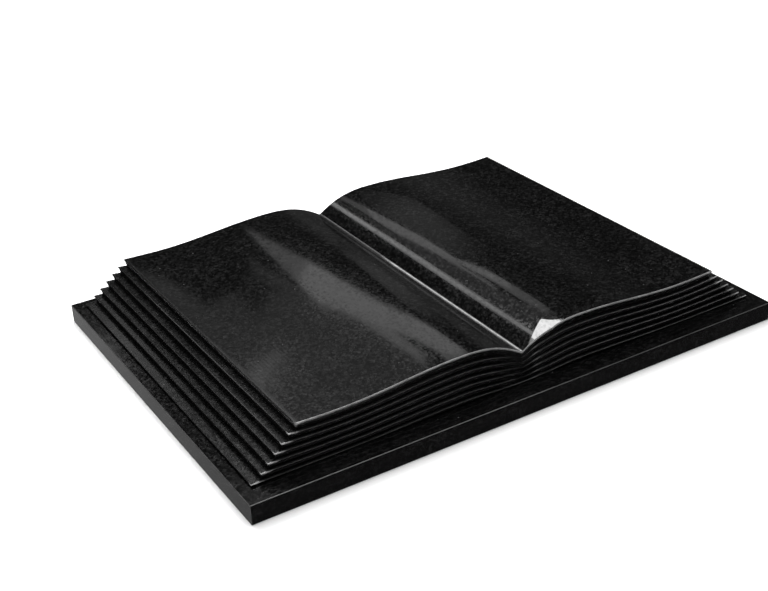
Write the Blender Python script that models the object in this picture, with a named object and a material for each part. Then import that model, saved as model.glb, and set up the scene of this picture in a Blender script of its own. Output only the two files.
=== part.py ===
"""Open book headstone in polished black granite.

A book lies open on a thin slab that stands for its cover. The book is one carved block: two page
wings that meet in a V at the spine, leaves that step out at both fore-edges, and the same leaves cut
into the head and tail faces as undercut lines. Metres, +Z up, the tail of the book towards -Y, the
spine along Y, the ground at Z = 0 and the origin under the middle of the slab.
"""

import math

import bmesh
import bpy

# Slab under the book
SLAB_WIDTH = 0.600
SLAB_DEPTH = 0.430
SLAB_THICKNESS = 0.020
SLAB_ARRIS = 0.0010

# Bed joint between the slab and the book
BED_GAP = 0.0003

# Slab left showing around the lowest leaf
SIDE_MARGIN = 0.0125
TAIL_MARGIN = 0.0220
HEAD_MARGIN = 0.0115

# Leaves carved in the edges of the block
LEAF_COUNT = 7
FORE_EDGE_TREAD = 0.0075
LOWEST_TREAD = 0.0105
END_SETBACK = 0.0008
LEAF_LIP = 0.0016
GROOVE_FLOOR = 0.0005
FORE_EDGE_UNDERCUT = 0.0028
END_UNDERCUT = 0.0024
FOOT_UNDERCUT = 0.0060
PAGE_ARRIS = 0.0007

# The lowest leaf's lip takes this share of its height, and its undercut the rest
FOOT_LIP_SHARE = 0.5

# Distance from the spine to the crest and to the dip of every leaf
CREST_FROM_SPINE = 0.068
DIP_FROM_SPINE = 0.195

# Height of the top page above the slab
PAGE_SPINE_HEIGHT = 0.0300
PAGE_CREST_HEIGHT = 0.0497
PAGE_DIP_HEIGHT = 0.0420
PAGE_TIP_HEIGHT = 0.0434

# Height of the lowest leaf above the slab
FOOT_SPINE_HEIGHT = 0.0014
FOOT_CREST_HEIGHT = 0.0048
FOOT_DIP_HEIGHT = 0.0020
FOOT_TIP_HEIGHT = 0.0028

# The top leaf is thicker than the others between the spine and the tip, as a share of one leaf
TOP_LEAF_EXTRA = 0.4

# How sharply the top page turns over from the spine to its crest
PAGE_TURN = 2.5

# The end grooves start this far from the spine and reach full depth this much farther out
GROOVE_START = 0.004
GROOVE_FADE = 0.016

# Columns of faces across one wing, drawn closer together towards the spine by the exponent
WING_COLUMNS = 36
COLUMN_CROWDING = 1.35

# Edges that turn by more than this stay crisp when the surfaces are shaded
CREASE_ANGLE = math.radians(25)

FOOT_UNDERSIDE = SLAB_THICKNESS + BED_GAP


def clear_scene():
    """Removes whatever the open file holds."""
    for item in list(bpy.data.objects):
        bpy.data.objects.remove(item, do_unlink=True)


def smooth(t):
    """Eases from 0 to 1 with level ends."""
    t = min(max(t, 0.0), 1.0)
    return t * t * (3.0 - 2.0 * t)


def stone(name, colour, roughness):
    """A polished or sawn granite as a plain surface colour."""
    material = bpy.data.materials.new(name)
    material.use_nodes = True
    shader = material.node_tree.nodes["Principled BSDF"]
    shader.inputs["Base Color"].default_value = (*colour, 1.0)
    shader.inputs["Roughness"].default_value = roughness
    shader.inputs["Metallic"].default_value = 0.0
    material.diffuse_color = (*colour, 1.0)
    return material


def leaf_share(leaf, extra):
    """How far down the stack a leaf lies: 0 for the top page and 1 for the lowest leaf."""
    step = leaf + (extra if leaf else 0.0)
    return step / (LEAF_COUNT - 1 + extra)


def between(top, foot, share):
    """Height at a share of the way down from the top page to the lowest leaf."""
    return top + (foot - top) * share


def leaf_half_width(leaf):
    """Distance from the spine to the tip of a leaf."""
    lowest = SLAB_WIDTH / 2 - SIDE_MARGIN
    if leaf == LEAF_COUNT - 1:
        return lowest
    return lowest - LOWEST_TREAD - FORE_EDGE_TREAD * (LEAF_COUNT - 2 - leaf)


def leaf_ends(leaf):
    """Y of a leaf's tail and head faces."""
    inward = END_SETBACK * (LEAF_COUNT - 1 - leaf)
    tail = -SLAB_DEPTH / 2 + TAIL_MARGIN + inward
    head = SLAB_DEPTH / 2 - HEAD_MARGIN - inward
    return tail, head


def leaf_height(leaf, x):
    """Height of a leaf's upper arris above the ground at a distance x from the spine."""
    distance = abs(x)
    even = leaf_share(leaf, 0.0)
    thick = leaf_share(leaf, TOP_LEAF_EXTRA)
    spine = between(PAGE_SPINE_HEIGHT, FOOT_SPINE_HEIGHT, even)
    crest = between(PAGE_CREST_HEIGHT, FOOT_CREST_HEIGHT, thick)
    dip = between(PAGE_DIP_HEIGHT, FOOT_DIP_HEIGHT, thick)
    tip = between(PAGE_TIP_HEIGHT, FOOT_TIP_HEIGHT, even)
    if distance <= CREST_FROM_SPINE:
        along = distance / CREST_FROM_SPINE
        round_turn = 1.0 - (1.0 - along) ** PAGE_TURN
        rise = between(round_turn, smooth(along), even)
        return SLAB_THICKNESS + spine + (crest - spine) * rise
    if distance <= DIP_FROM_SPINE:
        along = (distance - CREST_FROM_SPINE) / (DIP_FROM_SPINE - CREST_FROM_SPINE)
        fall = (1.0 - math.cos(math.pi * along)) / 2
        return SLAB_THICKNESS + crest + (dip - crest) * fall
    along = (distance - DIP_FROM_SPINE) / (leaf_half_width(leaf) - DIP_FROM_SPINE)
    return SLAB_THICKNESS + dip + (tip - dip) * along * along


def columns():
    """Places across the block as shares of a leaf's half width, from the left tip to the right."""
    wing = [(n / WING_COLUMNS) ** COLUMN_CROWDING for n in range(1, WING_COLUMNS + 1)]
    return [-t for t in reversed(wing)] + [0.0] + wing


def groove_depth(x):
    """Depth of the end grooves, which fade out in the smooth strip over the spine."""
    return END_UNDERCUT * smooth((abs(x) - GROOVE_START) / GROOVE_FADE)


def ring(half_width, tail, head, height, inset):
    """A loop around the block: along the tail from left to right, then back along the head.

    height gives Z from X, and inset gives the distance cut back from an end face from X.
    """
    across = [half_width * t for t in columns()]
    front = [(x, tail + inset(x), height(x)) for x in across]
    back = [(x, head - inset(x), height(x)) for x in reversed(across)]
    return front + back


def level(distance):
    """A height or an inset that is the same at every X."""
    return lambda x: distance


def leaf_rings(leaf):
    """The rings of one leaf, from its arris down its lip and into the groove over the next leaf."""
    half_width = leaf_half_width(leaf)
    tail, head = leaf_ends(leaf)
    arris = ring(half_width, tail, head, lambda x: leaf_height(leaf, x), level(0.0))
    lip = ring(half_width, tail, head, lambda x: leaf_height(leaf, x) - LEAF_LIP, level(0.0))
    narrow = half_width - FORE_EDGE_UNDERCUT
    groove = ring(narrow, tail, head, lambda x: leaf_height(leaf + 1, x) + GROOVE_FLOOR, groove_depth)
    return [arris, lip, groove]


def foot_rings():
    """The rings of the lowest leaf, from its arris down to the bed under its own undercut."""
    leaf = LEAF_COUNT - 1
    half_width = leaf_half_width(leaf)
    tail, head = leaf_ends(leaf)
    arris = ring(half_width, tail, head, lambda x: leaf_height(leaf, x), level(0.0))

    def lip_height(x):
        """Height of the underside of the lowest leaf's lip."""
        return between(leaf_height(leaf, x), FOOT_UNDERSIDE, FOOT_LIP_SHARE)

    lip = ring(half_width, tail, head, lip_height, level(0.0))
    narrow = half_width - FOOT_UNDERCUT
    bed = ring(narrow, tail, head, level(FOOT_UNDERSIDE), level(FOOT_UNDERCUT))
    return [arris, lip, bed]


def page_rings():
    """Every ring of the block, from the page inside its eased arris down to the bed."""
    half_width = leaf_half_width(0) - PAGE_ARRIS
    tail, head = leaf_ends(0)
    page = ring(half_width, tail, head, lambda x: leaf_height(0, x) + PAGE_ARRIS, level(PAGE_ARRIS))
    rings = [page]
    for leaf in range(LEAF_COUNT - 1):
        rings.extend(leaf_rings(leaf))
    return rings + foot_rings()


def close_cap(mesh, loop, upward):
    """Fills a ring with strips that run from its tail side to its head side."""
    count = len(loop)
    for n in range(count // 2 - 1):
        strip = [loop[n], loop[n + 1], loop[count - 2 - n], loop[count - 1 - n]]
        mesh.faces.new(strip if upward else reversed(strip))


def make_page_block(material):
    """The open book as one closed solid, skinned from its rings."""
    mesh = bmesh.new()
    loops = [[mesh.verts.new(point) for point in points] for points in page_rings()]
    close_cap(mesh, loops[0], True)
    for upper, lower in zip(loops, loops[1:]):
        for n in range(len(upper)):
            m = (n + 1) % len(upper)
            mesh.faces.new((upper[n], lower[n], lower[m], upper[m]))
    close_cap(mesh, loops[-1], False)
    return finish_mesh(mesh, "page_block", material)


def make_base_slab(material):
    """The slab under the book, with its arrises eased."""
    mesh = bmesh.new()
    bmesh.ops.create_cube(mesh, size=1.0)
    bmesh.ops.scale(mesh, vec=(SLAB_WIDTH, SLAB_DEPTH, SLAB_THICKNESS), verts=mesh.verts)
    bmesh.ops.translate(mesh, vec=(0.0, 0.0, SLAB_THICKNESS / 2), verts=mesh.verts)
    bmesh.ops.bevel(mesh, geom=mesh.edges[:], offset=SLAB_ARRIS, segments=1, profile=0.5, affect="EDGES")
    return finish_mesh(mesh, "base_slab", material)


def finish_mesh(mesh, name, material):
    """Turns a bmesh into a named object whose rounded surfaces are shaded smooth."""
    bmesh.ops.recalc_face_normals(mesh, faces=mesh.faces[:])
    data = bpy.data.meshes.new(name)
    mesh.to_mesh(data)
    mesh.free()
    data.materials.append(material)
    data.shade_smooth()
    data.set_sharp_from_angle(angle=CREASE_ANGLE)
    item = bpy.data.objects.new(name, data)
    bpy.context.collection.objects.link(item)
    return item


def main():
    """Builds the slab and the book on it."""
    clear_scene()
    make_base_slab(stone("Polished slab granite", (0.020, 0.020, 0.021), 0.16))
    make_page_block(stone("Polished book granite", (0.016, 0.016, 0.017), 0.12))


main()
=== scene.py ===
"""Open book headstone in polished black granite, dressed, lit and seen as a studio photograph.

A carved book of seven leaves lies open on a thin slab. Metres, +Z up, the tail of the book towards
-Y, the spine along Y, the ground at Z = 0 and the origin under the middle of the slab.
"""

import logging
import math
from dataclasses import dataclass
from enum import Enum
from functools import partial
from typing import Any

import bmesh
import bpy
from mathutils import Matrix, Vector


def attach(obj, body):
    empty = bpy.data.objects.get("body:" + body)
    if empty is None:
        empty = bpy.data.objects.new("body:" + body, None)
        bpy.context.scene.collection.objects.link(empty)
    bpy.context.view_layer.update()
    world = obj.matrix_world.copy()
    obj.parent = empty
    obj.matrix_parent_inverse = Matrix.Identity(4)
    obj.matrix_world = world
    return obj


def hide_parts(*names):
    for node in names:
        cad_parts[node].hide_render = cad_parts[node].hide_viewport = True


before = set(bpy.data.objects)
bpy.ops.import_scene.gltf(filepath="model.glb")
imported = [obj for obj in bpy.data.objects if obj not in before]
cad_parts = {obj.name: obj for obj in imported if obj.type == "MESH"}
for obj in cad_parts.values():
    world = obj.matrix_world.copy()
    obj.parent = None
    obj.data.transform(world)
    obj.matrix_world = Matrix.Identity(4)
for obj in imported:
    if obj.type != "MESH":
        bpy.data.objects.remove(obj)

LOG = logging.getLogger("book_headstone")

MILLIMETRE = 0.001
IMAGE_WIDTH = 768
SENSOR_WIDTH = 36.0

# The upright cards face the book from this many degrees off +Y towards +X
CARD_HEADING = 27.0

# Blender's names for the nodes that the trees use most
MATH, RANGE, MIX = "ShaderNodeMath", "ShaderNodeMapRange", "ShaderNodeMix"
STORE = "GeometryNodeStoreNamedAttribute"


def linear_colour(code: str) -> tuple[float, float, float, float]:
    """Turns an sRGB hex colour into the linear colour that shaders take.

    Args:
        code: Six hex digits, with or without a leading #.

    Returns:
        Red, green, blue and alpha.
    """
    digits = code.lstrip("#")
    channels = [int(digits[n:n + 2], 16) / 255 for n in (0, 2, 4)]
    red, green, blue = [c / 12.92 if c <= 0.04045 else ((c + 0.055) / 1.055) ** 2.4 for c in channels]
    return red, green, blue, 1.0


def add_node(tree: bpy.types.NodeTree, kind: str, inputs: dict[int | str, Any] | None = None,
             **settings: Any) -> bpy.types.Node:
    """Adds one node with its settings, and sets or links its inputs.

    Args:
        tree: The tree that the node goes into.
        kind: The node's type name.
        inputs: For each input, by name or number, a value, a socket or a node that gives its first output.
        settings: The node's own properties.

    Returns:
        The new node.
    """
    node = tree.nodes.new(kind)
    for name, value in settings.items():
        setattr(node, name, value)
    for key, value in (inputs or {}).items():
        if isinstance(value, bpy.types.Node):
            value = next(socket for socket in value.outputs if socket.enabled)
        if isinstance(value, bpy.types.NodeSocket):
            tree.links.new(value, node.inputs[key])
        else:
            node.inputs[key].default_value = value
    return node


class Working(Enum):
    """Hand workings that differ from the polish, and painted light, each marked on a piece by an attribute of
    that name: pale arrises partly painted highlight, hollows painted dark as shade, honed treads, and the
    valley line a painted highlight.
    """

    ARRIS = "arris"
    HOLLOW = "hollow"
    HONED = "honed"
    VALLEY = "valley"


@dataclass(frozen=True)
class BlackGranite:
    """Fine-grained near-black granite, polished to a mirror, with ground hollows painted dark as shade and
    eased arrises.

    To the eye it is a deep, slightly grey black with crystals a millimetre or two across, a few
    bright flecks, soft-edged reflections, and paler, duller lines where an arris was rubbed down,
    their paleness partly a painted highlight, with a painted highlight line along the valley.
    """

    name: str
    ground: str = "#030303"
    crystal: str = "#1f1f1f"
    fleck: str = "#5c5c5c"
    # Pale arris colour: the rubbed arris, partly a painted highlight
    arris: str = "#acacac"
    # Dark colour of the hollows: painted shade
    hollow: str = "#030303"
    grain: float = 2.0 * MILLIMETRE
    grain_contrast: float = 1.7
    mottle: float = 5.0 * MILLIMETRE
    noise_low: float = 0.35
    noise_high: float = 0.65
    mottle_dark: float = 0.35
    mottle_light: float = 1.65
    cloud: float = 38.0 * MILLIMETRE
    fleck_spacing: float = 12.0 * MILLIMETRE
    fleck_smallest: float = 0.02
    fleck_largest: float = 0.06
    fleck_rarity: float = 0.55
    fleck_strength: float = 0.55
    rub_spacing: float = 9.0 * MILLIMETRE
    rub_low: float = 0.30
    rub_faintest: float = 0.55
    satin_gain: float = 5.0
    satin_roughness: float = 0.25
    polish: float = 0.07
    dull_share: float = 0.45
    dull_crystal: float = 0.20
    ground_roughness: float = 0.42
    honed_share: float = 0.25
    honed_smooth: float = 0.20
    honed_rough: float = 0.29
    honed_gain: float = 0.95
    # Where along the spine the valley's painted highlight fades up to full
    valley_dull: float = 0.062
    valley_pale: float = 0.040
    valley_faintest: float = 0.12
    ripple: float = 0.03 * MILLIMETRE
    ripple_length: float = 24.0 * MILLIMETRE
    ior: float = 1.65

    def material(self) -> bpy.types.Material:
        """Builds the shader.

        Returns:
            The material, which reads the attributes that mark the workings of the piece.
        """
        material = bpy.data.materials.new(self.name)
        material.use_nodes = True
        tree = material.node_tree
        tree.nodes.clear()
        add = partial(add_node, tree)
        place = add("ShaderNodeTexCoord").outputs["Object"]
        marks = {working: add("ShaderNodeAttribute", attribute_name=working.value,
                              attribute_type="GEOMETRY").outputs["Fac"] for working in Working}

        # Crystals, darker and lighter in small patches and in slow clouds
        grain = add("ShaderNodeTexVoronoi", {"Vector": place, "Scale": 1 / self.grain})
        grain_tone = add("ShaderNodeSeparateColor", {"Color": grain.outputs["Color"]}).outputs[0]
        cloud = add("ShaderNodeTexNoise", {"Vector": place, "Scale": 1 / self.cloud, "Detail": 4.0})
        mottle = add("ShaderNodeTexNoise", {"Vector": place, "Scale": 1 / self.mottle, "Detail": 1.0})
        mottle = add(RANGE, {0: mottle.outputs["Fac"], 1: self.noise_low, 2: self.noise_high,
                             3: self.mottle_dark, 4: self.mottle_light})
        shade = add(MATH, {0: grain_tone, 1: self.grain_contrast}, operation="POWER")
        shade = add(MATH, {0: shade, 1: cloud.outputs["Fac"]}, operation="MULTIPLY")
        shade = add(MATH, {0: shade, 1: mottle}, operation="MULTIPLY")
        stone = add(MIX, {0: shade, 6: linear_colour(self.ground), 7: linear_colour(self.crystal)},
                    data_type="RGBA")

        # A bright fleck in some cells, each of its own size
        flecks = add("ShaderNodeTexVoronoi", {"Vector": place, "Scale": 1 / self.fleck_spacing})
        fleck_size = add("ShaderNodeSeparateColor", {"Color": flecks.outputs["Color"]}).outputs[1]
        fleck_edge = add(RANGE, {0: fleck_size, 3: self.fleck_smallest, 4: self.fleck_largest})
        fleck_mask = add(MATH, {0: flecks.outputs["Distance"], 1: fleck_edge}, operation="LESS_THAN")
        fleck_some = add(MATH, {0: fleck_size, 1: self.fleck_rarity}, operation="GREATER_THAN")
        fleck_mask = add(MATH, {0: fleck_mask, 1: fleck_some}, operation="MULTIPLY")
        fleck_mask = add(MATH, {0: fleck_mask, 1: self.fleck_strength}, operation="MULTIPLY")
        stone = add(MIX, {0: fleck_mask, 6: stone.outputs[2], 7: linear_colour(self.fleck)}, data_type="RGBA")

        # Arrises rubbed pale unevenly, partly a painted highlight; the valley line a painted highlight,
        # palest towards the tail; and hollows painted dark as shade
        rub_and_highlight = add("ShaderNodeTexNoise", {"Vector": place, "Scale": 1 / self.rub_spacing, "Detail": 3.0})
        rub_and_highlight = add(RANGE, {0: rub_and_highlight.outputs["Fac"], 1: self.rub_low, 2: self.noise_high, 3: self.rub_faintest})
        # The valley's painted highlight is brightest towards the tail
        run = add("ShaderNodeSeparateXYZ", {0: place}).outputs[1]
        run = add(RANGE, {0: run, 1: self.valley_dull, 2: self.valley_pale, 3: self.valley_faintest})
        valley = add(MATH, {0: marks[Working.VALLEY], 1: run}, operation="MULTIPLY")
        edge = add(MATH, {0: marks[Working.ARRIS], 1: valley}, operation="MAXIMUM")
        rub_and_highlight = add(MATH, {0: rub_and_highlight, 1: edge}, operation="MULTIPLY")
        stone = add(MIX, {0: rub_and_highlight, 6: stone.outputs[2], 7: linear_colour(self.arris)}, data_type="RGBA")
        stone = add(MIX, {0: marks[Working.HOLLOW], 6: stone.outputs[2], 7: linear_colour(self.hollow)},
                    data_type="RGBA")
        # Honed treads: their tone scaled by honed_gain
        honed_tone = add(RANGE, {0: marks[Working.HONED], 3: 1.0, 4: self.honed_gain})
        stone = add("ShaderNodeVectorMath", {0: stone.outputs[2], 1: honed_tone}, operation="MULTIPLY")

        # Polish that skips some crystals, with the hand workings duller
        dull = add("ShaderNodeSeparateColor", {"Color": grain.outputs["Color"]}).outputs[1]
        smear = add(RANGE, {0: dull, 1: self.dull_share, 3: self.polish, 4: self.dull_crystal})
        rough = add(MIX, {0: marks[Working.HOLLOW], 2: smear, 3: self.ground_roughness})
        honed = add(RANGE, {0: dull, 1: self.honed_share, 3: self.honed_smooth, 4: self.honed_rough})
        rough = add(MIX, {0: marks[Working.HONED], 2: rough, 3: honed})
        satin = add(MATH, {0: rub_and_highlight, 1: self.satin_gain}, operation="MULTIPLY", use_clamp=True)
        rough = add(MIX, {0: satin, 2: rough.outputs[0], 3: self.satin_roughness})

        wave = add("ShaderNodeTexNoise", {"Vector": place, "Scale": 1 / self.ripple_length, "Detail": 1.0})
        bump = add("ShaderNodeBump",
                   {"Height": wave.outputs["Fac"], "Strength": 1.0, "Distance": self.ripple})
        shader = add("ShaderNodeBsdfPrincipled",
                     {"Base Color": stone, "Roughness": rough.outputs[0], "IOR": self.ior, "Normal": bump})
        add("ShaderNodeOutputMaterial", {"Surface": shader})
        return material


@dataclass(frozen=True)
class StudioPaper:
    """Matt white seamless paper: a pale floor with no gloss."""

    name: str = "Matt white seamless paper"
    colour: str = "#f4f4f4"
    mottle_scale: float = 3.0
    mottle_shade: float = 0.985

    def material(self) -> bpy.types.Material:
        """Builds the shader with a very faint mottle.

        Returns:
            The material.
        """
        material = bpy.data.materials.new(self.name)
        material.use_nodes = True
        tree = material.node_tree
        tree.nodes.clear()
        add = partial(add_node, tree)
        place = add("ShaderNodeTexCoord").outputs["Object"]
        mottle = add("ShaderNodeTexNoise", {"Vector": place, "Scale": self.mottle_scale, "Detail": 2.0})
        white = linear_colour(self.colour)
        paper = add(MIX, {0: mottle.outputs["Fac"], 6: white,
                          7: tuple(c * self.mottle_shade for c in white[:3]) + (1.0,)}, data_type="RGBA")
        shader = add("ShaderNodeBsdfPrincipled",
                     {"Base Color": paper.outputs[2], "Roughness": 1.0, "Specular IOR Level": 0.0})
        add("ShaderNodeOutputMaterial", {"Surface": shader})
        return material


@dataclass
class CarvedBook:
    """The open book: page wings, seven stepped leaves and the grooves cut between them.

    Sizes are in metres. Paleness and dulling are shares of the marks that the granite reads; the paleness is
    partly painted highlight.
    """

    slab_width: float = 0.600
    slab_depth: float = 0.430
    slab_thickness: float = 0.020
    bed_gap: float = 0.0003
    side_margin: float = 0.0125
    tail_margin: float = 0.0220
    head_margin: float = 0.0115
    leaf_count: int = 7
    fore_edge_tread: float = 0.0075
    lowest_tread: float = 0.0105
    end_setback: float = 0.0008
    leaf_lip: float = 0.0021
    leaf_arris: float = 0.0005
    groove_floor: float = 0.0005
    groove_margin: float = 0.0012
    groove_hollow: float = 0.3
    groove_shoulder: float = 0.6
    largest_arris_share: float = 0.4
    fore_edge_undercut: float = 0.0014
    end_undercut: float = 0.0024
    foot_undercut: float = 0.0060
    page_arris: float = 0.0007
    foot_lip_share: float = 0.5
    crest_from_spine: float = 0.068
    dip_from_spine: float = 0.195
    page_spine_height: float = 0.0300
    page_crest_height: float = 0.0497
    page_dip_height: float = 0.0420
    page_tip_height: float = 0.0434
    foot_spine_height: float = 0.0014
    foot_crest_height: float = 0.0048
    foot_dip_height: float = 0.0020
    foot_tip_height: float = 0.0028
    top_leaf_extra: float = 0.4
    page_turn: float = 2.5
    groove_start: float = 0.004
    groove_fade: float = 0.034
    spine_fillet: float = 0.0012
    # Width of the painted highlight line along the valley
    valley_width: float = 0.0012
    fore_edge_share: float = 0.9995
    tail_share: float = 0.002
    # Arris paleness: rubbed arrises, partly painted as highlight lines, brighter towards the right end and on
    # the top page
    leaf_paleness: float = 0.15
    paleness_start: float = 0.2
    right_end_paleness: float = 0.40
    page_paleness: float = 0.60
    fore_edge_paleness: float = 0.04
    lip_foot_paleness: float = 0.25
    fore_edge_dull: float = 0.7
    # Reach of the painted glint at the tail corners of the fore-edges
    corner_glint_reach: float = 0.012
    easing_start: float = 0.007
    easing_widen: float = 0.60
    easing_peak: float = 0.0365
    easing_depth: float = 0.0152
    easing_nearest: float = 0.001
    easing_power: float = 6.0
    easing_blend: float = 0.005
    easing_rest: float = 0.0004
    easing_slope: float = 0.10
    wing_columns: int = 96
    column_crowding: float = 1.5
    side_rows: int = 72
    arc_steps: int = 3
    merge_distance: float = 0.01 * MILLIMETRE
    crease: float = math.radians(38)

    def leaf_group(self) -> bpy.types.NodeTree:
        """Builds the node group that gives one leaf's reach, setback and height.

        Returns:
            A group with Leaf and Distance and the leaf sizes as inputs.
        """
        tree = bpy.data.node_groups.new("Leaf form", "GeometryNodeTree")
        for name in ("Leaf", "Distance", *self.leaf_sizes()):
            tree.interface.new_socket(name=name, in_out="INPUT", socket_type="NodeSocketFloat")
        for name in ("Height", "Half width", "Setback"):
            tree.interface.new_socket(name=name, in_out="OUTPUT", socket_type="NodeSocketFloat")
        add = partial(add_node, tree)
        given = add("NodeGroupInput").outputs
        last = add(MATH, {0: given["Leaf count"], 1: 1.0}, operation="SUBTRACT")
        under = add(MATH, {0: given["Leaf"], 1: 1.0}, operation="MINIMUM")

        steps = add(MATH, {0: last, 1: given["Leaf"]}, operation="SUBTRACT")
        any_step = add(MATH, {0: steps, 1: 1.0}, operation="MINIMUM")
        wider = add(MATH, {0: given["Lowest tread"], 1: given["Fore-edge tread"]}, operation="SUBTRACT")
        wider = add(MATH, {0: wider, 1: any_step}, operation="MULTIPLY")
        treads = add(MATH, {0: steps, 1: given["Fore-edge tread"], 2: wider}, operation="MULTIPLY_ADD")
        half = add(MATH, {0: given["Lowest half width"], 1: treads}, operation="SUBTRACT")
        setback = add(MATH, {0: steps, 1: given["End setback"]}, operation="MULTIPLY")

        even = add(MATH, {0: given["Leaf"], 1: last}, operation="DIVIDE")
        thick = add(MATH, {0: under, 1: given["Top leaf extra"], 2: given["Leaf"]}, operation="MULTIPLY_ADD")
        thick_all = add(MATH, {0: last, 1: given["Top leaf extra"]}, operation="ADD")
        thick = add(MATH, {0: thick, 1: thick_all}, operation="DIVIDE")
        heights = {}
        for station, share in (("spine", even), ("crest", thick), ("dip", thick), ("tip", even)):
            heights[station] = add(MIX, {0: share, 2: given[f"Page {station} height"],
                                         3: given[f"Foot {station} height"]}, clamp_factor=False)

        fillet = add(MATH, {0: given["Spine fillet"], 1: given["Spine fillet"]}, operation="MULTIPLY")
        rounded = add(MATH, {0: given["Distance"], 1: given["Distance"], 2: fillet}, operation="MULTIPLY_ADD")
        rounded = add(MATH, {0: rounded}, operation="SQRT")
        turn = add(MATH, {0: rounded, 1: given["Crest from spine"]}, operation="DIVIDE", use_clamp=True)
        left = add(MATH, {0: 1.0, 1: turn}, operation="SUBTRACT")
        left = add(MATH, {0: left, 1: given["Page turn"]}, operation="POWER")
        round_turn = add(MATH, {0: 1.0, 1: left}, operation="SUBTRACT")
        eased_turn = add(RANGE, {0: turn}, interpolation_type="SMOOTHSTEP")
        rise = add(MIX, {0: even, 2: round_turn, 3: eased_turn})
        height = add(MIX, {0: rise, 2: heights["spine"], 3: heights["crest"]}, clamp_factor=False)

        fall = add(RANGE, {0: given["Distance"], 1: given["Crest from spine"], 2: given["Dip from spine"],
                           3: 0.0, 4: math.pi})
        fall = add(MATH, {0: fall}, operation="COSINE")
        fall = add(MATH, {0: fall, 1: -0.5, 2: 0.5}, operation="MULTIPLY_ADD")
        height = add(MIX, {0: fall, 2: height, 3: heights["dip"]})

        outer = add(RANGE, {0: given["Distance"], 1: given["Dip from spine"], 2: half}, clamp=False)
        outer = add(MATH, {0: outer, 1: 0.0}, operation="MAXIMUM")
        outer = add(MATH, {0: outer, 1: outer}, operation="MULTIPLY")
        lift = add(MATH, {0: heights["tip"], 1: heights["dip"]}, operation="SUBTRACT")
        height = add(MATH, {0: outer, 1: lift, 2: height}, operation="MULTIPLY_ADD")
        height = add(MATH, {0: height, 1: given["Slab thickness"]}, operation="ADD")
        add("NodeGroupOutput", {"Height": height, "Half width": half, "Setback": setback})
        return tree

    def leaf_sizes(self) -> dict[str, float]:
        """Names and values of the sizes that the leaf group reads."""
        return {
            "Slab thickness": self.slab_thickness,
            "Leaf count": float(self.leaf_count),
            "Lowest half width": self.slab_width / 2 - self.side_margin,
            "Lowest tread": self.lowest_tread,
            "Fore-edge tread": self.fore_edge_tread,
            "End setback": self.end_setback,
            "Top leaf extra": self.top_leaf_extra,
            "Page turn": self.page_turn,
            "Spine fillet": self.spine_fillet,
            "Crest from spine": self.crest_from_spine,
            "Dip from spine": self.dip_from_spine,
            "Page spine height": self.page_spine_height,
            "Page crest height": self.page_crest_height,
            "Page dip height": self.page_dip_height,
            "Page tip height": self.page_tip_height,
            "Foot spine height": self.foot_spine_height,
            "Foot crest height": self.foot_crest_height,
            "Foot dip height": self.foot_dip_height,
            "Foot tip height": self.foot_tip_height,
        }

    def groove_sizes(self) -> dict[str, float]:
        """Names and values of the sizes that only the whole book's tree reads."""
        return {
            "Tail": -self.slab_depth / 2 + self.tail_margin,
            "Head": self.slab_depth / 2 - self.head_margin,
            "Underside": self.slab_thickness + self.bed_gap,
            "Leaf lip": self.leaf_lip,
            "Leaf arris": self.leaf_arris,
            "Page arris": self.page_arris,
            "Groove floor": self.groove_floor,
            "Fore-edge undercut": self.fore_edge_undercut,
            "End undercut": self.end_undercut,
            "Foot undercut": self.foot_undercut,
            "Foot lip share": self.foot_lip_share,
            "Groove start": self.groove_start,
            "Groove fade": self.groove_fade,
            "Easing start": self.easing_start,
            "Easing widen": self.easing_widen,
            "Easing peak": self.easing_peak,
            "Easing depth": self.easing_depth,
            "Easing rest": self.easing_rest,
            "Easing slope": self.easing_slope,
        }

    def carving_tree(self, material: bpy.types.Material) -> bpy.types.NodeTree:
        """Builds the tree that carves the whole block from one rule.

        Every vertex has a share across the block, a share from tail to head, and a row. The rows run
        down each leaf in turn: its eased arris, its lip, the lip's lower arris and the groove's root.

        Args:
            material: The granite set on every face.

        Returns:
            The Geometry Nodes tree.
        """
        tree = bpy.data.node_groups.new("Carved leaves", "GeometryNodeTree")
        sizes = {**self.leaf_sizes(), **self.groove_sizes()}
        for name in sizes:
            tree.interface.new_socket(name=name, in_out="INPUT", socket_type="NodeSocketFloat")
        tree.interface.new_socket(name="Geometry", in_out="OUTPUT", socket_type="NodeSocketGeometry")
        add = partial(add_node, tree)
        given = add("NodeGroupInput").outputs
        group = self.leaf_group()

        def leaf_form(leaf: Any, distance: Any) -> bpy.types.Node:
            """The leaf group, fed with the sizes, for one leaf at a distance from the spine."""
            passed = {name: given[name] for name in self.leaf_sizes()}
            return add("GeometryNodeGroup", {"Leaf": leaf, "Distance": distance, **passed}, node_tree=group)

        columns, rows, steps = self.wing_columns, self.side_rows, self.arc_steps
        leaf_rows = 2 * steps + 4
        last_row = self.leaf_count * leaf_rows - 1
        turn_right = 2 * columns
        turn_head = turn_right + rows
        around = 2 * turn_head

        # Page and bed: flat grids whose corners carry the shares across and along
        page = add("GeometryNodeMeshGrid", {0: 2.0, 1: 2.0, 2: 2 * columns + 1, 3: rows + 1})
        place = add("ShaderNodeSeparateXYZ", {0: add("GeometryNodeInputPosition")})
        along = add(MATH, {0: place.outputs[1], 1: 0.5, 2: 0.5}, operation="MULTIPLY_ADD")
        sheet = add(STORE, {"Geometry": page.outputs["Mesh"], "Name": "across", "Value": place.outputs[0]})
        sheet = add(STORE, {"Geometry": sheet, "Name": "along", "Value": along})
        page = add(STORE, {"Geometry": sheet, "Name": "row", "Value": 0.0})
        bed = add(STORE, {"Geometry": sheet, "Name": "row", "Value": float(last_row)})

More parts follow.
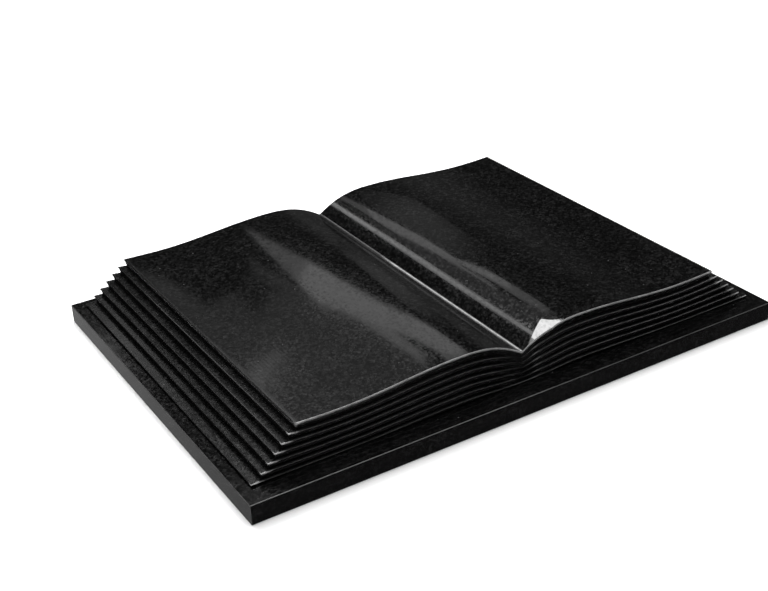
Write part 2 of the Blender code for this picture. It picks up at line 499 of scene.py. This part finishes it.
        # Skirt: a grid wound round the block from the tail's left corner, one line of faces for each row
        skirt = add("GeometryNodeMeshGrid",
                    {0: float(around), 1: float(last_row), 2: around + 1, 3: last_row + 1})
        round_at = add(MATH, {0: place.outputs[0], 1: around / 2}, operation="ADD")
        round_at = add(MATH, {0: round_at}, operation="ROUND")
        row = add(MATH, {0: last_row / 2, 1: place.outputs[1]}, operation="SUBTRACT")
        row = add(MATH, {0: row}, operation="ROUND")
        there = add(RANGE, {0: round_at, 1: 0.0, 2: float(turn_right), 3: -1.0, 4: 1.0})
        back = add(RANGE,
                   {0: round_at, 1: float(turn_head), 2: float(turn_head + turn_right), 3: 1.0, 4: -1.0})
        across = add(MATH, {0: there, 1: back}, operation="MINIMUM")
        there = add(RANGE, {0: round_at, 1: float(turn_right), 2: float(turn_head)})
        back = add(RANGE, {0: round_at, 1: float(turn_head + turn_right), 2: float(around), 3: 1.0, 4: 0.0})
        along = add(MATH, {0: there, 1: back}, operation="MINIMUM")
        for name, value in (("across", across), ("along", along), ("row", row)):
            skirt = add(STORE, {"Geometry": skirt.outputs[0], "Name": name, "Value": value})

        # The tree reads the shares back, wherever the vertex came from
        across, along, row = (add("GeometryNodeInputNamedAttribute", {"Name": name})
                              for name in ("across", "along", "row"))
        crowded = add(MATH, {0: across}, operation="ABSOLUTE")
        crowded = add(MATH, {0: crowded, 1: self.column_crowding}, operation="POWER")
        side = add(MATH, {0: across}, operation="SIGN")
        crowded = add(MATH, {0: crowded, 1: side}, operation="MULTIPLY")

        # The row gives the leaf and the step down it, told apart by tests between the whole numbers
        carved_row = add(MATH, {0: row, 1: 1.0}, operation="SUBTRACT")
        carved_row = add(MATH, {0: carved_row, 1: 0.0}, operation="MAXIMUM")
        leaf = add(MATH, {0: carved_row, 1: float(leaf_rows)}, operation="DIVIDE")
        leaf = add(MATH, {0: leaf}, operation="FLOOR")
        step = add(MATH, {0: leaf, 1: -float(leaf_rows), 2: carved_row}, operation="MULTIPLY_ADD")
        is_page = add(MATH, {0: row, 1: 0.5}, operation="LESS_THAN")
        is_top = add(MATH, {0: leaf, 1: 0.5}, operation="LESS_THAN")
        is_foot = add(MATH, {0: leaf, 1: self.leaf_count - 1.5}, operation="GREATER_THAN")
        is_root = add(MATH, {0: step, 1: leaf_rows - 2.5}, operation="GREATER_THAN")
        is_tread = add(MATH, {0: step, 1: leaf_rows - 1.5}, operation="GREATER_THAN")
        is_under = add(MATH, {0: step, 1: steps + 0.5}, operation="GREATER_THAN")
        is_bed = add(MATH, {0: is_root, 1: is_foot}, operation="MULTIPLY")
        is_groove = add(MATH, {0: is_root, 1: is_foot}, operation="SUBTRACT", use_clamp=True)

        # Outline of the row's own leaf, and its height at this distance from the spine
        form = leaf_form(leaf, 0.0)
        fore_cut = add(MIX, {0: is_foot, 2: given["Fore-edge undercut"], 3: given["Foot undercut"]})
        arris = add(MIX, {0: is_top, 2: given["Leaf arris"], 3: given["Page arris"]})
        rough_x = add(MATH, {0: form.outputs["Half width"], 1: crowded}, operation="MULTIPLY")
        rough_distance = add(MATH, {0: rough_x}, operation="ABSOLUTE")

        own = leaf_form(leaf, rough_distance)
        foot_lip = add(MATH, {0: own.outputs["Height"], 1: given["Underside"]}, operation="SUBTRACT")
        foot_lip = add(MATH, {0: foot_lip, 1: given["Foot lip share"]}, operation="MULTIPLY")
        lip = add(MIX, {0: is_foot, 2: given["Leaf lip"], 3: foot_lip})
        largest = add(MATH, {0: lip, 1: self.largest_arris_share}, operation="MULTIPLY")
        lower_arris = add(MATH, {0: given["Leaf arris"], 1: largest}, operation="MINIMUM")
        upper_arris = add(MIX, {0: is_top, 2: lower_arris, 3: arris})

        # Eased arrises: two quarter rounds with the lip's straight face between them
        angle = add(RANGE, {0: step, 1: 0.0, 2: float(steps), 3: 0.0, 4: math.pi / 2})
        cosine = add(MATH, {0: angle}, operation="COSINE")
        sine = add(MATH, {0: angle}, operation="SINE")
        inset = add(MATH, {0: 1.0, 1: sine}, operation="SUBTRACT")
        inset = add(MATH, {0: inset, 1: upper_arris}, operation="MULTIPLY")
        drop = add(MATH, {0: 1.0, 1: cosine}, operation="SUBTRACT")
        drop = add(MATH, {0: drop, 1: upper_arris}, operation="MULTIPLY")
        angle = add(RANGE, {0: step, 1: steps + 1.0, 2: 2 * steps + 1.0, 3: 0.0, 4: math.pi / 2})
        cosine = add(MATH, {0: angle}, operation="COSINE")
        sine = add(MATH, {0: angle}, operation="SINE")
        under = add(MATH, {0: 1.0, 1: cosine}, operation="SUBTRACT")
        under = add(MATH, {0: under, 1: lower_arris, 2: inset}, operation="MULTIPLY_ADD")
        inset = add(MIX, {0: is_under, 2: inset, 3: under})
        lip_foot = add(MATH, {0: sine, 1: 1.0}, operation="SUBTRACT")
        lip_foot = add(MATH, {0: lip_foot, 1: lower_arris, 2: lip}, operation="MULTIPLY_ADD")
        page_lift = add(MATH, {0: is_top, 1: given["Page arris"]}, operation="MULTIPLY")
        lip_foot = add(MATH, {0: lip_foot, 1: page_lift}, operation="ADD")
        drop = add(MIX, {0: is_under, 2: drop, 3: lip_foot})

        # Page ends eased back beside the valley, widest where the page turns over
        distance = add(MATH, {0: rough_x, 1: given["Easing start"]}, operation="SUBTRACT")
        widen = add(MATH, {0: distance, 1: given["Easing widen"]}, operation="MULTIPLY")
        narrow = add(MATH, {0: rough_distance, 1: self.easing_nearest}, operation="MAXIMUM")
        narrow = add(MATH, {0: given["Easing peak"], 1: narrow}, operation="DIVIDE")
        narrow = add(MATH, {0: narrow, 1: self.easing_power}, operation="POWER")
        narrow = add(MATH, {0: narrow, 1: given["Easing depth"]}, operation="MULTIPLY")
        easing = add(MATH, {0: widen, 1: narrow, 2: self.easing_blend}, operation="SMOOTH_MIN")
        easing = add(MATH, {0: easing, 1: given["Easing rest"]}, operation="MAXIMUM")
        fallen = add(MATH, {0: easing, 1: given["Easing rest"]}, operation="SUBTRACT")
        fallen = add(MATH, {0: fallen, 1: given["Easing slope"]}, operation="MULTIPLY")
        eased_end = add(MATH, {0: along, 1: 0.5}, operation="LESS_THAN")
        on_lip = add(MATH, {0: is_top, 1: is_page}, operation="SUBTRACT", use_clamp=True)
        on_lip = add(MATH, {0: on_lip, 1: eased_end}, operation="MULTIPLY")
        on_lip = add(MATH, {0: on_lip, 1: is_root}, operation="SUBTRACT", use_clamp=True)
        fallen = add(MATH, {0: fallen, 1: on_lip}, operation="MULTIPLY")
        page_end = add(MATH, {0: easing, 1: is_page}, operation="MULTIPLY")
        page_side = add(MATH, {0: given["Easing rest"], 1: is_page}, operation="MULTIPLY")

        # Inset from the fore-edges and from the ends
        side_inset = add(MIX, {0: is_root, 2: inset, 3: fore_cut})
        side_inset = add(MATH, {0: is_tread, 1: -self.groove_margin, 2: side_inset}, operation="MULTIPLY_ADD")
        side_inset = add(MATH, {0: side_inset, 1: page_side}, operation="ADD")
        fade = add(MATH, {0: rough_distance, 1: given["Groove start"]}, operation="SUBTRACT")
        fade = add(RANGE, {0: fade, 1: 0.0, 2: given["Groove fade"]}, interpolation_type="SMOOTHSTEP")
        end_cut = add(MATH, {0: fade, 1: given["End undercut"]}, operation="MULTIPLY")
        end_cut = add(MIX, {0: is_foot, 2: end_cut, 3: given["Foot undercut"]})
        arc_fade = add(MIX, {0: is_under, 2: 1.0, 3: fade})
        arc_fade = add(MATH, {0: inset, 1: arc_fade}, operation="MULTIPLY")
        end_inset = add(MIX, {0: is_root, 2: arc_fade, 3: end_cut})
        tread_start = add(MATH, {0: end_inset, 1: self.groove_shoulder}, operation="MULTIPLY")
        end_inset = add(MIX, {0: is_tread, 2: end_inset, 3: tread_start})
        end_inset = add(MATH, {0: end_inset, 1: form.outputs["Setback"]}, operation="ADD")

        # Place of the vertex
        reach = add(MATH, {0: form.outputs["Half width"], 1: side_inset}, operation="SUBTRACT")
        x = add(MATH, {0: reach, 1: crowded}, operation="MULTIPLY")
        tail = add(MATH, {0: given["Tail"], 1: end_inset}, operation="ADD")
        tail = add(MATH, {0: tail, 1: page_end}, operation="ADD")
        head = add(MATH, {0: given["Head"], 1: end_inset}, operation="SUBTRACT")
        head = add(MATH, {0: head, 1: page_side}, operation="SUBTRACT")
        y = add(MIX, {0: along, 2: tail, 3: head})
        height_leaf = add(MATH, {0: leaf, 1: is_groove}, operation="ADD")
        shown = leaf_form(height_leaf, add(MATH, {0: x}, operation="ABSOLUTE"))
        z = add(MATH, {0: shown.outputs["Height"], 1: page_lift}, operation="ADD")
        z = add(MATH, {0: z, 1: drop}, operation="SUBTRACT")
        z = add(MATH, {0: z, 1: fallen}, operation="SUBTRACT")
        floor_rise = add(MATH, {0: is_tread, 1: -self.groove_hollow, 2: 1.0}, operation="MULTIPLY_ADD")
        floor_z = add(MATH, {0: given["Groove floor"], 1: floor_rise, 2: shown.outputs["Height"]},
                      operation="MULTIPLY_ADD")
        z = add(MIX, {0: is_groove, 2: z, 3: floor_z})
        z = add(MIX, {0: is_bed, 2: z, 3: given["Underside"]})
        spot = add("ShaderNodeCombineXYZ", {0: x, 1: y, 2: z})

        # One closed block: the page faces up, and the flipped skirt and bed face out and down
        walls = add("GeometryNodeJoinGeometry", {0: skirt})
        tree.links.new(bed.outputs[0], walls.inputs[0])
        walls = add("GeometryNodeFlipFaces", {0: walls})
        block = add("GeometryNodeJoinGeometry", {0: page})
        tree.links.new(walls.outputs[0], block.inputs[0])
        block = add("GeometryNodeSetPosition", {"Geometry": block, "Position": spot})

        # Where the granite is rubbed pale with a partly painted highlight, painted dark as shade in hollows,
        # honed, or painted with a highlight line along the valley
        # Pale arris mark: rubbed arrises, partly a painted highlight line along each edge
        last_pale = add(MATH, {0: is_top, 1: steps - 0.5}, operation="ADD")
        from_step = add(MATH, {0: step, 1: 0.5}, operation="GREATER_THAN")
        on_arris = add(MATH, {0: step, 1: last_pale}, operation="LESS_THAN")
        on_arris = add(MATH, {0: on_arris, 1: from_step}, operation="MULTIPLY")
        share = add(MATH, {0: across}, operation="ABSOLUTE")
        fore_edge = add(MATH, {0: share, 1: self.fore_edge_share}, operation="GREATER_THAN")
        # Painted highlight: leaf lines painted paler towards the right end
        to_right = add(RANGE, {0: across, 1: self.paleness_start, 3: self.leaf_paleness,
                               4: self.right_end_paleness})
        end_pale = add(MATH, {0: fade, 1: to_right}, operation="MULTIPLY")
        paler = add(MIX, {0: is_top, 2: end_pale, 3: self.page_paleness})
        paler = add(MIX, {0: fore_edge, 2: paler, 3: self.fore_edge_paleness})
        # Painted glint: the tail corners of the fore-edges are painted pale
        corner = add(MATH, {0: form.outputs["Half width"], 1: rough_distance}, operation="SUBTRACT")
        corner = add(RANGE, {0: corner, 1: self.corner_glint_reach, 2: self.corner_glint_reach / 2})
        at_tail_end = add(MATH, {0: along, 1: self.tail_share}, operation="LESS_THAN")
        corner = add(MATH, {0: corner, 1: at_tail_end}, operation="MULTIPLY")
        over_lip = add(MATH, {0: from_step, 1: is_under}, operation="SUBTRACT", use_clamp=True)
        corner = add(MATH, {0: corner, 1: over_lip}, operation="MULTIPLY")
        on_arris = add(MATH, {0: on_arris, 1: paler}, operation="MULTIPLY")
        on_arris = add(MATH, {0: on_arris, 1: corner}, operation="MAXIMUM")
        # Painted shade: groove roots, the top page's fore-edge side and the ledges near the spine are painted
        # dark, and ground rough
        in_root = add(MATH, {0: is_root, 1: is_tread}, operation="SUBTRACT")
        page_side = add(MATH, {0: fore_edge, 1: is_top}, operation="MULTIPLY")
        lip_foot = add(MATH, {0: is_under, 1: is_root}, operation="SUBTRACT", use_clamp=True)
        lip_foot = add(MATH, {0: lip_foot, 1: page_side}, operation="MULTIPLY")
        lip_foot = add(MATH, {0: lip_foot, 1: self.lip_foot_paleness}, operation="MULTIPLY")
        on_arris = add(MATH, {0: on_arris, 1: lip_foot}, operation="MAXIMUM")
        page_side = add(MATH, {0: page_side, 1: is_under}, operation="SUBTRACT", use_clamp=True)
        page_side = add(MATH, {0: page_side, 1: self.fore_edge_dull}, operation="MULTIPLY")
        in_root = add(MATH, {0: in_root, 1: page_side}, operation="MAXIMUM")
        # Painted highlight line along the valley of the pages
        valley = add(RANGE, {0: rough_distance, 1: 0.0, 2: self.valley_width, 3: 1.0, 4: 0.0})
        valley = add(MATH, {0: valley, 1: is_page}, operation="MULTIPLY")
        tread_end = add(MATH, {0: step, 1: 0.5}, operation="LESS_THAN")
        tread_end = add(MATH, {0: tread_end, 1: is_top}, operation="SUBTRACT", use_clamp=True)
        on_tread = add(MATH, {0: tread_end, 1: is_tread}, operation="MAXIMUM")
        on_ledge = add(MATH, {0: on_tread, 1: fore_edge}, operation="SUBTRACT", use_clamp=True)
        on_tread = add(MATH, {0: on_tread, 1: fore_edge}, operation="MULTIPLY")
        in_root = add(MATH, {0: in_root, 1: on_ledge}, operation="MAXIMUM")
        for working, value in ((Working.ARRIS, on_arris), (Working.HOLLOW, in_root),
                               (Working.HONED, on_tread), (Working.VALLEY, valley)):
            block = add(STORE, {"Geometry": block, "Name": working.value, "Value": value})
        block = add("GeometryNodeMergeByDistance", {"Geometry": block, "Distance": self.merge_distance})
        turn = add("GeometryNodeInputMeshEdgeAngle").outputs["Unsigned Angle"]
        soft = add(MATH, {0: turn, 1: self.crease}, operation="LESS_THAN")
        block = add("GeometryNodeSetShadeSmooth", {"Geometry": block, "Shade Smooth": soft}, domain="EDGE")
        block = add("GeometryNodeRealizeInstances", {"Geometry": block})
        block = add("GeometryNodeSetMaterial", {"Geometry": block, "Material": material})
        add("NodeGroupOutput", {"Geometry": block})
        return tree

    def build(self, material: bpy.types.Material) -> bpy.types.Object:
        """Carves the book and makes it a plain mesh.

        Args:
            material: The granite to dress it in.

        Returns:
            The finished piece.
        """
        piece = bpy.data.objects.new("carved_book", bpy.data.meshes.new("carved_book"))
        bpy.context.scene.collection.objects.link(piece)
        carving = piece.modifiers.new("Carved leaves", "NODES")
        carving.node_group = self.carving_tree(material)
        sizes = {**self.leaf_sizes(), **self.groove_sizes()}
        for item in carving.node_group.interface.items_tree:
            if item.item_type == "SOCKET" and item.in_out == "INPUT":
                carving[item.identifier] = sizes[item.name]
        settle(piece)
        flatten = piece.modifiers.new("Weighted normals", "WEIGHTED_NORMAL")
        flatten.keep_sharp = True
        return piece


def settle(piece: bpy.types.Object) -> None:
    """Makes the piece's evaluated shape its own plain mesh and removes its modifiers.

    Args:
        piece: The piece, whose modifiers are still live.
    """
    evaluated = piece.evaluated_get(bpy.context.evaluated_depsgraph_get())
    mesh = bpy.data.meshes.new_from_object(evaluated)
    piece.modifiers.clear()
    piece.data = mesh
    mesh.name = piece.name


@dataclass
class CoverSlab:
    """The thin slab under the book, which stands for its cover."""

    width: float = 0.600
    depth: float = 0.430
    thickness: float = 0.020
    arris: float = 0.0007
    arris_segments: int = 3
    arris_paleness: float = 0.12
    flat_facing: float = 0.999

    def build(self, material: bpy.types.Material) -> bpy.types.Object:
        """Cuts the slab and eases its arrises.

        Args:
            material: The granite to dress it in.

        Returns:
            The finished piece.
        """
        shape = bmesh.new()
        bmesh.ops.create_cube(shape, size=1.0)
        bmesh.ops.scale(shape, vec=(self.width, self.depth, self.thickness), verts=shape.verts)
        bmesh.ops.translate(shape, vec=(0.0, 0.0, self.thickness / 2), verts=shape.verts)
        bmesh.ops.bevel(shape, geom=shape.edges[:], offset=self.arris, segments=self.arris_segments,
                        profile=0.5, affect="EDGES")
        bmesh.ops.recalc_face_normals(shape, faces=shape.faces[:])
        arris = shape.faces.layers.float.new(Working.ARRIS.value)
        hollow = shape.faces.layers.float.new(Working.HOLLOW.value)
        for face in shape.faces:
            upright = max(abs(n) for n in face.normal)
            # Bevel faces take the pale arris mark, partly a painted highlight line
            face[arris] = 0.0 if upright > self.flat_facing else self.arris_paleness
            # The underside is painted dark as shade
            face[hollow] = 1.0 if face.normal.z < -self.flat_facing else 0.0
            face.smooth = True
        mesh = bpy.data.meshes.new("cover_slab")
        shape.to_mesh(mesh)
        shape.free()
        mesh.materials.append(material)
        piece = bpy.data.objects.new("cover_slab", mesh)
        bpy.context.scene.collection.objects.link(piece)
        flatten = piece.modifiers.new("Weighted normals", "WEIGHTED_NORMAL")
        flatten.keep_sharp = True
        return piece


@dataclass(frozen=True)
class Panel:
    """A flat soft light, placed by its centre, where its back points and its size."""

    name: str
    centre: tuple[float, float, float]
    yaw: float
    tilt: float
    width: float
    height: float
    radiance: float
    mirrored: bool = True

    def hang(self) -> None:
        """Hangs the light, unseen by the camera and, if it isn't mirrored, by reflections."""
        yaw, tilt = math.radians(self.yaw), math.radians(self.tilt)
        back = Vector((math.sin(yaw) * math.cos(tilt), math.cos(yaw) * math.cos(tilt), math.sin(tilt)))
        across = Vector((0, 0, 1)).cross(back)
        across = across.normalized() if across.length > 1e-6 else Vector((1, 0, 0))
        up = back.cross(across)
        turn = Matrix((across, up, back)).transposed().to_4x4()
        light = bpy.data.lights.new(self.name, "AREA")
        light.shape = "RECTANGLE"
        light.size, light.size_y = self.width, self.height
        light.energy = self.radiance * math.pi * self.width * self.height
        lamp = bpy.data.objects.new(self.name, light)
        lamp.matrix_world = Matrix.Translation(self.centre) @ turn
        lamp.visible_camera = False
        lamp.visible_glossy = self.mirrored
        bpy.context.scene.collection.objects.link(lamp)


@dataclass(frozen=True)
class MirrorCard:
    """Glowing card that only reflections see, so that the polish mirrors its outline.

    It glows evenly, unless it has a middle: then the glow fades out from there.
    """

    name: str
    corners: tuple[tuple[float, float, float], ...]
    glow: float
    middle: tuple[float, float, float] | None = None
    fade_start: float = 0.02
    fade_end: float = 0.12

    @classmethod
    def upright(cls, name: str, outline: tuple[tuple[float, float], ...], glow: float,
                distance: float = 0.6, middle: tuple[float, float] | None = None) -> "MirrorCard":
        """Cuts a card that stands upright behind the book.

        Args:
            name: The card's name.
            outline: Its corners, each as metres to the right and metres above the ground.
            glow: Its radiance.
            distance: Metres from the origin to the card.
            middle: Where the glow fades from, measured as the corners are, or None for an even glow.

        Returns:
            The card.
        """
        turn = math.radians(CARD_HEADING)

        def spot(right: float, height: float) -> tuple[float, float, float]:
            """Place of a point of the card."""
            return (distance * math.sin(turn) + right * math.cos(turn),
                    distance * math.cos(turn) - right * math.sin(turn), height)

        return cls(name, tuple(spot(*corner) for corner in outline), glow, spot(*middle) if middle else None)

    @classmethod
    def floor_row(cls) -> tuple["MirrorCard", ...]:
        """Lays grey cards on the floor beside the slab's left face, ever lighter from tail to head.

        Returns:
            The cards.
        """
        left, right, height, length = -1.2, -0.3002, 0.0003, 0.06
        row = []
        for n in range(9):
            tail = -0.22 + length * n
            corners = ((left, tail, height), (right, tail, height), (right, tail + length, height),
                       (left, tail + length, height))
            row.append(cls(f"Grey floor card {n}", corners, 0.26 + 0.02 * n))
        return tuple(row)

    def hang(self) -> bpy.types.Object:
        """Makes the card.

        Returns:
            The card, which is stage and not part of the object.
        """
        material = bpy.data.materials.new(self.name)
        material.use_nodes = True
        tree = material.node_tree
        tree.nodes.clear()
        glow = self.glow
        if self.middle:
            place = add_node(tree, "ShaderNodeTexCoord").outputs["Object"]
            away = add_node(tree, "ShaderNodeVectorMath", {0: place, 1: self.middle}, operation="DISTANCE")
            glow = add_node(tree, RANGE, {0: away, 1: self.fade_start, 2: self.fade_end, 3: glow, 4: 0.0},
                            interpolation_type="SMOOTHSTEP")
        white = add_node(tree, "ShaderNodeEmission", {"Color": (1.0, 1.0, 1.0, 1.0), "Strength": glow})
        add_node(tree, "ShaderNodeOutputMaterial", {"Surface": white})
        shape = bmesh.new()
        shape.faces.new([shape.verts.new(corner) for corner in self.corners])
        mesh = bpy.data.meshes.new(self.name)
        shape.to_mesh(mesh)
        shape.free()
        mesh.materials.append(material)
        card = bpy.data.objects.new(self.name.lower().replace(" ", "_"), mesh)
        bpy.context.scene.collection.objects.link(card)
        card.visible_camera = card.visible_shadow = card.visible_diffuse = False
        return card


@dataclass
class Studio:
    """White floor, dark surroundings, soft lights overhead and behind, and the camera."""

    floor_size: float = 16.0
    floor_drop: float = 0.2 * MILLIMETRE
    floor_glow: float = 0.045
    wall_glow: float = 0.075
    wall_fade: float = 0.12
    side_fade: float = 0.5
    side_start: float = -0.3
    floor_top: float = 0.05
    wall_start: float = 0.22
    wall_end: float = 0.40
    cards: tuple[MirrorCard, ...] = (
        *MirrorCard.floor_row(),
        MirrorCard.upright("Page softbox", (
            (-0.13, 0.385), (-0.06, 0.425), (0.0, 0.455), (0.10, 0.465), (0.155, 0.50), (0.12, 0.555),
            (0.07, 0.57), (0.0, 0.548), (-0.10, 0.53), (-0.165, 0.50), (-0.185, 0.45)), 0.78),
        MirrorCard.upright("Page softbox tip", ((-0.235, 0.325), (-0.13, 0.385), (-0.185, 0.45)), 0.40),
        MirrorCard.upright("Softbox shoulder", (
            (0.155, 0.50), (0.20, 0.53), (0.20, 0.58), (0.15, 0.65), (0.085, 0.63), (0.068, 0.585),
            (0.07, 0.57), (0.12, 0.555)), 0.42),
        MirrorCard.upright("Page softbox flap", (
            (-0.10, 0.53), (-0.03, 0.542), (0.028, 0.60), (0.0, 0.64)), 0.62),
        MirrorCard.upright("Left patch", (
            (-0.31, 0.155), (-0.27, 0.178), (-0.235, 0.212), (-0.205, 0.238), (-0.22, 0.255),
            (-0.31, 0.20)), 0.15, distance=0.25),
        MirrorCard.upright("Left patch joint", (
            (-0.252, 0.385), (-0.243, 0.40), (-0.222, 0.425), (-0.195, 0.45), (-0.20, 0.465),
            (-0.228, 0.445), (-0.252, 0.415)), 0.16),
        MirrorCard.upright("Valley side card", (
            (-0.045, 0.095), (0.03, 0.104), (0.06, 0.125), (0.12, 0.17), (0.12, 0.245), (0.075, 0.25),
            (0.034, 0.248), (0.008, 0.206), (-0.016, 0.174), (-0.036, 0.151), (-0.045, 0.14)), 0.14,
            distance=0.25, middle=(0.02, 0.17)),
        MirrorCard.upright("Softbox halo", (
            (-0.25, 0.46), (-0.19, 0.46), (-0.165, 0.50), (-0.10, 0.53), (0.0, 0.65), (0.20, 0.64),
            (0.12, 0.75), (0.0, 0.85), (-0.25, 0.95)), 0.15),
        MirrorCard.upright("Valley strip", (
            (-0.56, 0.62), (-0.50, 0.62), (-0.46, 0.95), (-0.47, 1.8), (-0.62, 1.8), (-0.62, 1.2),
            (-0.58, 0.95)), 1.9, distance=1.0),
    )
    focal_pixels: float = 1290.9
    eye: tuple[float, float, float] = (-0.6354, -1.0153, 0.6676)
    forward: tuple[float, float, float] = (0.44927, 0.76024, -0.46925)
    up: tuple[float, float, float] = (0.27783, 0.38031, 0.88214)
    panels: tuple[Panel, ...] = (
        Panel("Overhead softbox", (0.1, 0.1, 1.75), 0, 90, 2.0, 2.0, 2.6),
        Panel("Back fill", (0.1, 1.35, 1.6), 0, 50, 1.8, 1.2, 6.0, mirrored=False),
        Panel("Room fill", (0.0, 0.0, 5.5), 0, 90, 14.0, 14.0, 0.9, mirrored=False),
        Panel("Tail corner lamp", (0.205, 0.478, 1.045), 14.9, 55.2, 0.50, 0.22, 8.5),
    )

    def lay_floor(self) -> bpy.types.Object:
        """Lays the white paper.

        Returns:
            The floor object.
        """
        shape = bmesh.new()
        bmesh.ops.create_grid(shape, x_segments=8, y_segments=8, size=self.floor_size / 2)
        bmesh.ops.translate(shape, vec=(0.0, 0.0, -self.floor_drop), verts=shape.verts)
        mesh = bpy.data.meshes.new("studio_floor")
        shape.to_mesh(mesh)
        shape.free()
        mesh.materials.append(StudioPaper().material())
        floor = bpy.data.objects.new("studio_floor", mesh)
        floor.visible_glossy = False
        bpy.context.scene.collection.objects.link(floor)
        return floor

    def light_room(self) -> None:
        """Hangs the panels and gives the room its dim walls behind a white backdrop."""
        for panel in self.panels:
            panel.hang()
        world = bpy.data.worlds.new("Studio room")
        bpy.context.scene.world = world
        world.use_nodes = True
        tree = world.node_tree
        tree.nodes.clear()
        add = partial(add_node, tree)
        aim = add("ShaderNodeSeparateXYZ", {0: add("ShaderNodeTexCoord").outputs["Generated"]}).outputs
        height, side = aim[2], add(RANGE, {0: aim[0], 1: self.side_start, 2: 0.0, 3: self.side_fade, 4: 1.0})
        low = add(RANGE,
                  {0: height, 1: self.floor_top, 2: self.wall_start, 3: self.floor_glow, 4: self.wall_glow})
        high = add(RANGE, {0: height, 1: self.wall_start, 2: self.wall_end, 3: 1.0, 4: self.wall_fade},
                   interpolation_type="SMOOTHSTEP")
        glow = add(MATH, {0: low, 1: high}, operation="MULTIPLY")
        glow = add(MATH, {0: glow, 1: side}, operation="MULTIPLY")
        walls = add("ShaderNodeBackground", {"Color": (1.0, 1.0, 1.0, 1.0), "Strength": glow})
        paper = add("ShaderNodeBackground", {"Color": (1.0, 1.0, 1.0, 1.0), "Strength": 1.0})
        seen = add("ShaderNodeLightPath").outputs["Is Camera Ray"]
        room = add("ShaderNodeMixShader", {0: seen, 1: walls, 2: paper})
        add("ShaderNodeOutputWorld", {"Surface": room})

    def place_camera(self) -> None:
        """Puts the camera where the photograph was taken."""
        lens = bpy.data.cameras.new("Camera")
        lens.sensor_width = SENSOR_WIDTH
        lens.lens = self.focal_pixels / IMAGE_WIDTH * SENSOR_WIDTH
        lens.clip_start, lens.clip_end = 0.02, 60.0
        camera = bpy.data.objects.new("Camera", lens)
        forward = Vector(self.forward).normalized()
        right = forward.cross(Vector(self.up)).normalized()
        up = right.cross(forward)
        turn = Matrix((right, up, -forward)).transposed().to_4x4()
        camera.matrix_world = Matrix.Translation(self.eye) @ turn
        bpy.context.scene.collection.objects.link(camera)
        bpy.context.scene.camera = camera


def report(piece: bpy.types.Object) -> None:
    """Logs a finished piece with its faces."""
    LOG.info("%s: %d faces", piece.name, len(piece.data.polygons))


def main() -> None:
    """Builds the book, the slab and the studio in order."""
    logging.basicConfig(level=logging.INFO, format="%(name)s: %(message)s")
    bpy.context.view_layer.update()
    studio = Studio()
    studio.place_camera()
    studio.lay_floor()
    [card.hang() for card in studio.cards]
    studio.light_room()

    book = CarvedBook().build(BlackGranite("Polished black granite, book").material())
    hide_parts("page_block")
    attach(book, "root")
    report(book)

    slab_granite = BlackGranite("Polished black granite, slab", polish=0.10, dull_crystal=0.22)
    slab = CoverSlab().build(slab_granite.material())
    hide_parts("base_slab")
    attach(slab, "root")
    report(slab)

    bpy.context.scene.view_settings.view_transform = "Standard"


if __name__ == "__main__":
    main()
